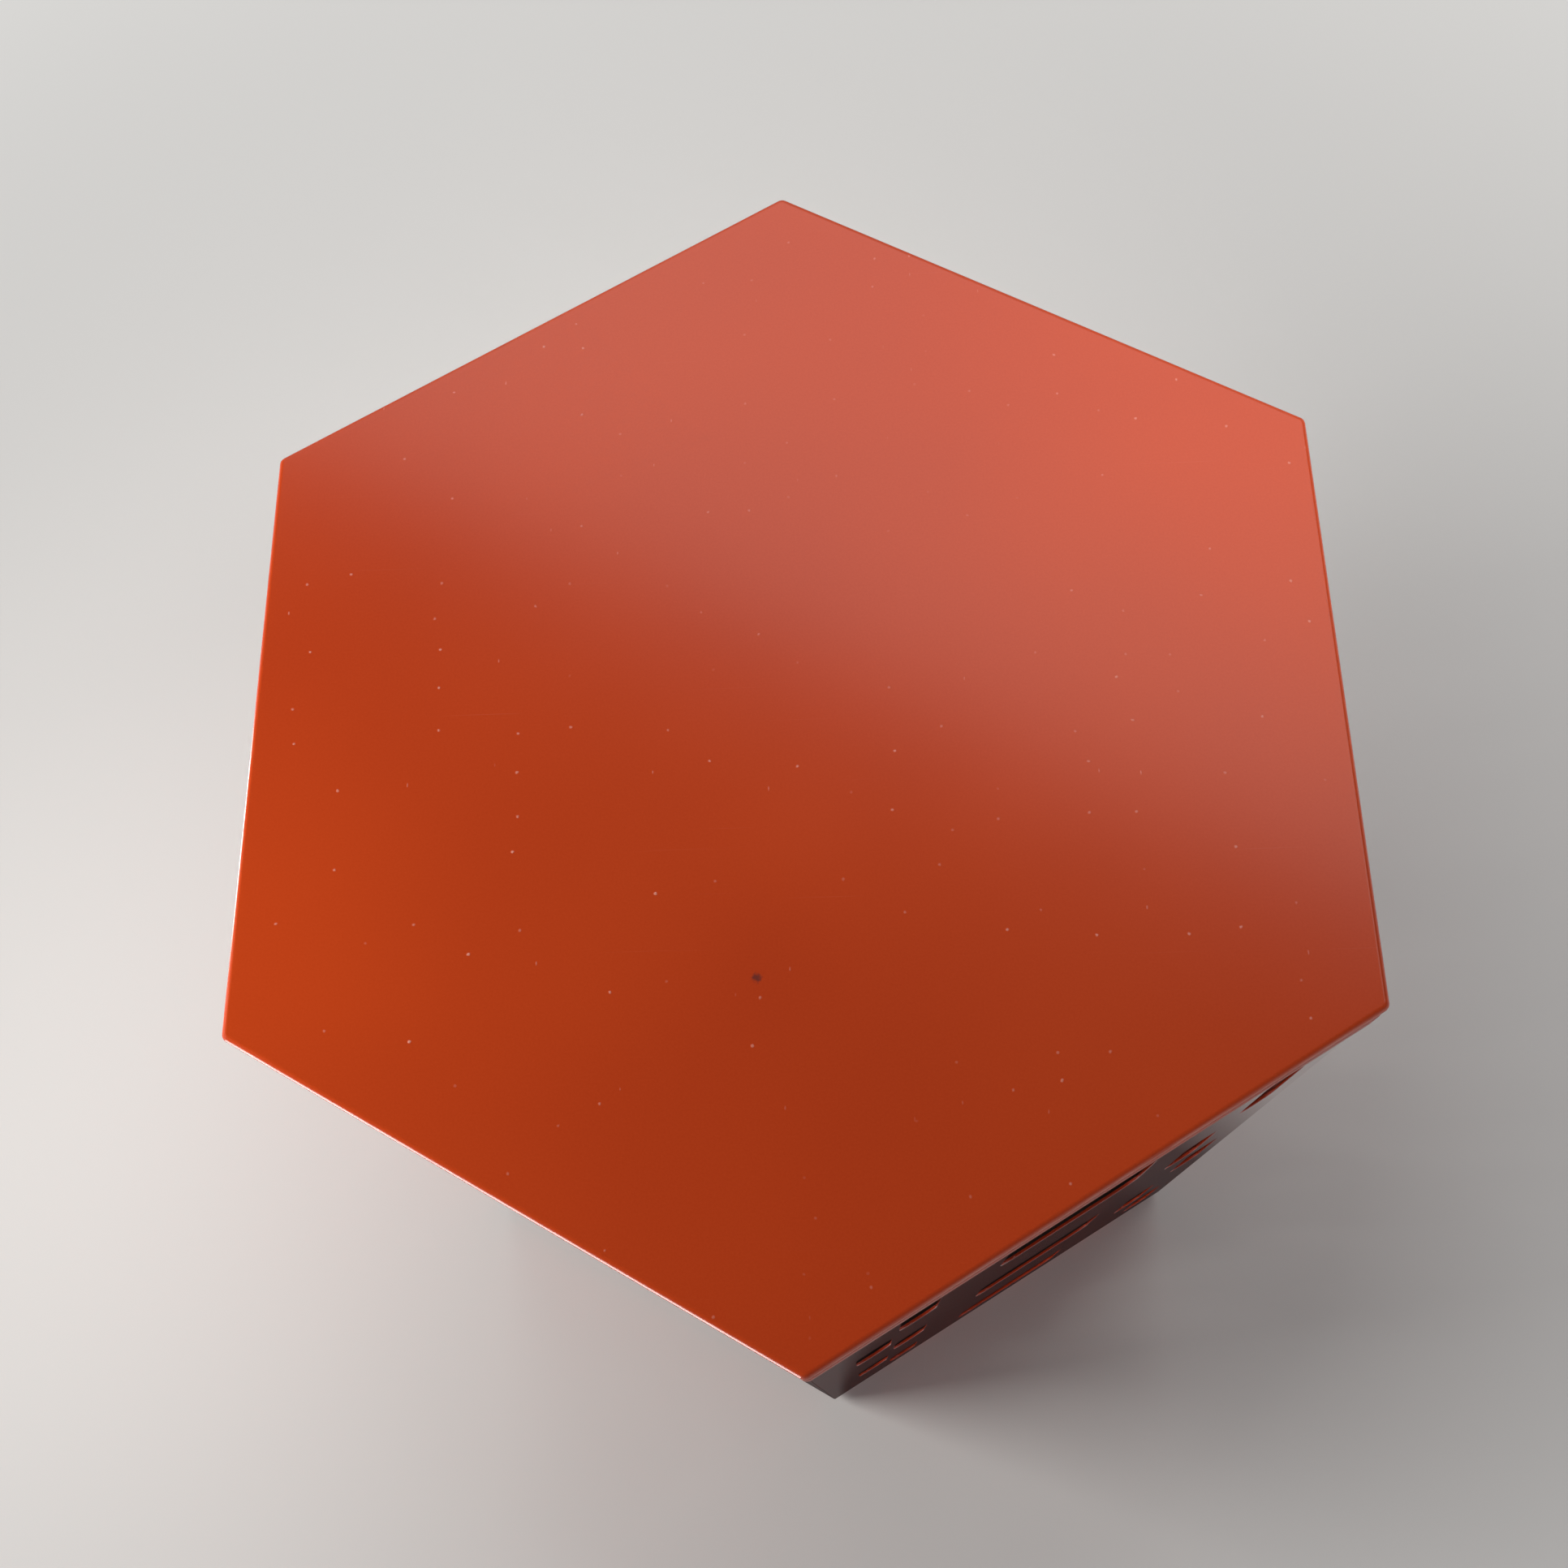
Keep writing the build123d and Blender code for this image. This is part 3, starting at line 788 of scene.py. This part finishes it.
def make_world():
    """Pale to the camera. As light, brighter at the horizon than overhead, and dimmer in reflections."""
    world = bpy.data.worlds.new("studio")
    bpy.context.scene.world = world
    world.use_nodes = True
    tree = world.node_tree
    tree.nodes.clear()
    output = tree.nodes.new("ShaderNodeOutputWorld")
    seen = tree.nodes.new("ShaderNodeBackground")
    lit = tree.nodes.new("ShaderNodeBackground")
    choice = tree.nodes.new("ShaderNodeMixShader")
    path = tree.nodes.new("ShaderNodeLightPath")
    coordinates = tree.nodes.new("ShaderNodeTexCoord")
    split = tree.nodes.new("ShaderNodeSeparateXYZ")
    fade = tree.nodes.new("ShaderNodeMapRange")
    seen.inputs[0].default_value = (*PALE, 1.0)
    lit.inputs[0].default_value = (*DAYLIGHT, 1.0)
    fade.inputs["From Min"].default_value = 0.0
    fade.inputs["From Max"].default_value = HIGH_UP
    fade.inputs["To Min"].default_value = HORIZON_LIGHT
    fade.inputs["To Max"].default_value = OVERHEAD_LIGHT
    tree.links.new(coordinates.outputs["Generated"], split.inputs[0])
    tree.links.new(split.outputs[2], fade.inputs["Value"])
    glossy = path.outputs["Is Glossy Ray"]
    share = world_maths(tree, "MULTIPLY_ADD", glossy, MIRRORED_SHARE - 1.0, 1.0)
    level = world_maths(tree, "MULTIPLY", fade.outputs[0], share)
    least = world_maths(tree, "MULTIPLY", glossy, MIRRORED_LEAST)
    tree.links.new(world_maths(tree, "MAXIMUM", level, least), lit.inputs[1])
    tree.links.new(path.outputs["Is Camera Ray"], choice.inputs[0])
    tree.links.new(lit.outputs[0], choice.inputs[1])
    tree.links.new(seen.outputs[0], choice.inputs[2])
    tree.links.new(choice.outputs[0], output.inputs["Surface"])


# The camera, as seen from the middle of the playing surface, in degrees and corner radii.
VIEW_AZIMUTH = 6.21
VIEW_ELEVATION = 69.14
VIEW_ROLL = -7.65
VIEW_DISTANCE = 2.6416 * CORNER_R
VIEW_TARGET = Vector((-0.0143 * CORNER_R, -0.1226 * CORNER_R, TOP_Z))
LENS = 39.0
SENSOR = 36.0
NEAREST = 10 * MM


def make_camera():
    """Looks down on the top at a slant, rolled a little."""
    azimuth, elevation = math.radians(VIEW_AZIMUTH), math.radians(VIEW_ELEVATION)
    level = math.cos(elevation)
    ahead = Vector((-math.sin(azimuth) * level, math.cos(azimuth) * level, -math.sin(elevation)))
    data = bpy.data.cameras.new("camera")
    data.lens = LENS
    data.sensor_width = SENSOR
    data.clip_start = NEAREST
    camera = bpy.data.objects.new("camera", data)
    bpy.context.scene.collection.objects.link(camera)
    camera.location = VIEW_TARGET - ahead * VIEW_DISTANCE
    camera.rotation_mode = "QUATERNION"
    roll = Quaternion((0, 0, 1), math.radians(VIEW_ROLL))
    camera.rotation_quaternion = ahead.to_track_quat("-Z", "Y") @ roll
    bpy.context.scene.camera = camera


def mirrored(x, y, height, eye):
    """Where the camera sees a point of the playing surface reflect a level plane above it."""
    spread = 1 + height / (eye.z - TOP_Z)
    return Vector((eye.x + (x - eye.x) * spread, eye.y + (y - eye.y) * spread))


# Places and aims of the lights are from the middle of the playing surface.
SOFTBOX_HEIGHT = 1.0
SOFTBOX_SIZE = (2.0, 0.95)
SOFTBOX_POWER = 10.3
SOFTBOX_TINT = (1.0, 0.98, 0.97)
SOFTBOX_EDGE = ((-0.85, 0.55), (0.80, -0.29))   # points on its reflection's edge, in corner radii
WARM = (1.0, 0.98, 0.96)
KEY_PLACE = Vector((0.45, 0.0, 0.60))
KEY_AIM = Vector((0.15, 0.20, 0.0))
KEY_SIZE = (0.15, 0.15)
KEY_POWER = 0.215
KEY_SPREAD = 45.0
FILL_PLACE = Vector((-0.70, -0.10, 0.20))
FILL_SIZE = (0.4, 0.4)
FILL_POWER = 6.4
GLINT_REACH = 0.6
GLINT_DROP = 18.0              # the strips lie this many degrees below the playing surface's plane


def make_softbox(eye):
    """Overhead softbox. Its reflection's edge crosses the playing surface just above the middle."""
    left, right = [mirrored(x * CORNER_R, y * CORNER_R, SOFTBOX_HEIGHT, eye) for x, y in SOFTBOX_EDGE]
    along = (right - left).normalized()
    away = Vector((-along.y, along.x))
    middle = (left + right) / 2 + away * SOFTBOX_SIZE[1] / 2
    place = Vector((middle.x, middle.y, TOP_Z + SOFTBOX_HEIGHT))
    below = place - Vector((0, 0, 1))
    spin = math.atan2(along.y, along.x)
    area_light("softbox", place, below, SOFTBOX_SIZE, SOFTBOX_POWER, SOFTBOX_TINT, spin)


def make_glint(name, azimuth, size, power):
    """Bright strip that only the rounded rim of the playing surface mirrors.

    It lies below the plane of the flat top, and is linked to the playing surface alone.
    """
    angle, drop = math.radians(azimuth), math.radians(GLINT_DROP)
    aim = Vector((0, 0, TOP_Z))
    way = Vector((math.cos(angle), math.sin(angle), -math.tan(drop)))
    lamp = area_light(name, aim + way * GLINT_REACH, aim, size, power)
    lamp.visible_diffuse = False
    receivers = bpy.data.collections.new(f"{name}_receivers")
    receivers.objects.link(nodes["playing_surface"])
    lamp.light_linking.receiver_collection = receivers


def make_lights():
    """Softbox overhead, narrow key on the back right of the top, fill on the left and two rim strips."""
    make_softbox(bpy.context.scene.camera.location)
    top = Vector((0, 0, TOP_Z))
    key = area_light("key", top + KEY_PLACE, top + KEY_AIM, KEY_SIZE, KEY_POWER, WARM, spread=KEY_SPREAD)
    fill = area_light("fill", top + FILL_PLACE, top, FILL_SIZE, FILL_POWER, WARM)
    key.visible_glossy = False
    fill.visible_glossy = False
    make_glint("rim_strip", azimuth=231.0, size=(0.46, 0.38), power=4.4)
    make_glint("side_strip", azimuth=169.0, size=(0.12, 0.22), power=1.1)


make_floor()
make_world()
make_camera()
make_lights()
bpy.context.scene.view_settings.view_transform = "Standard"
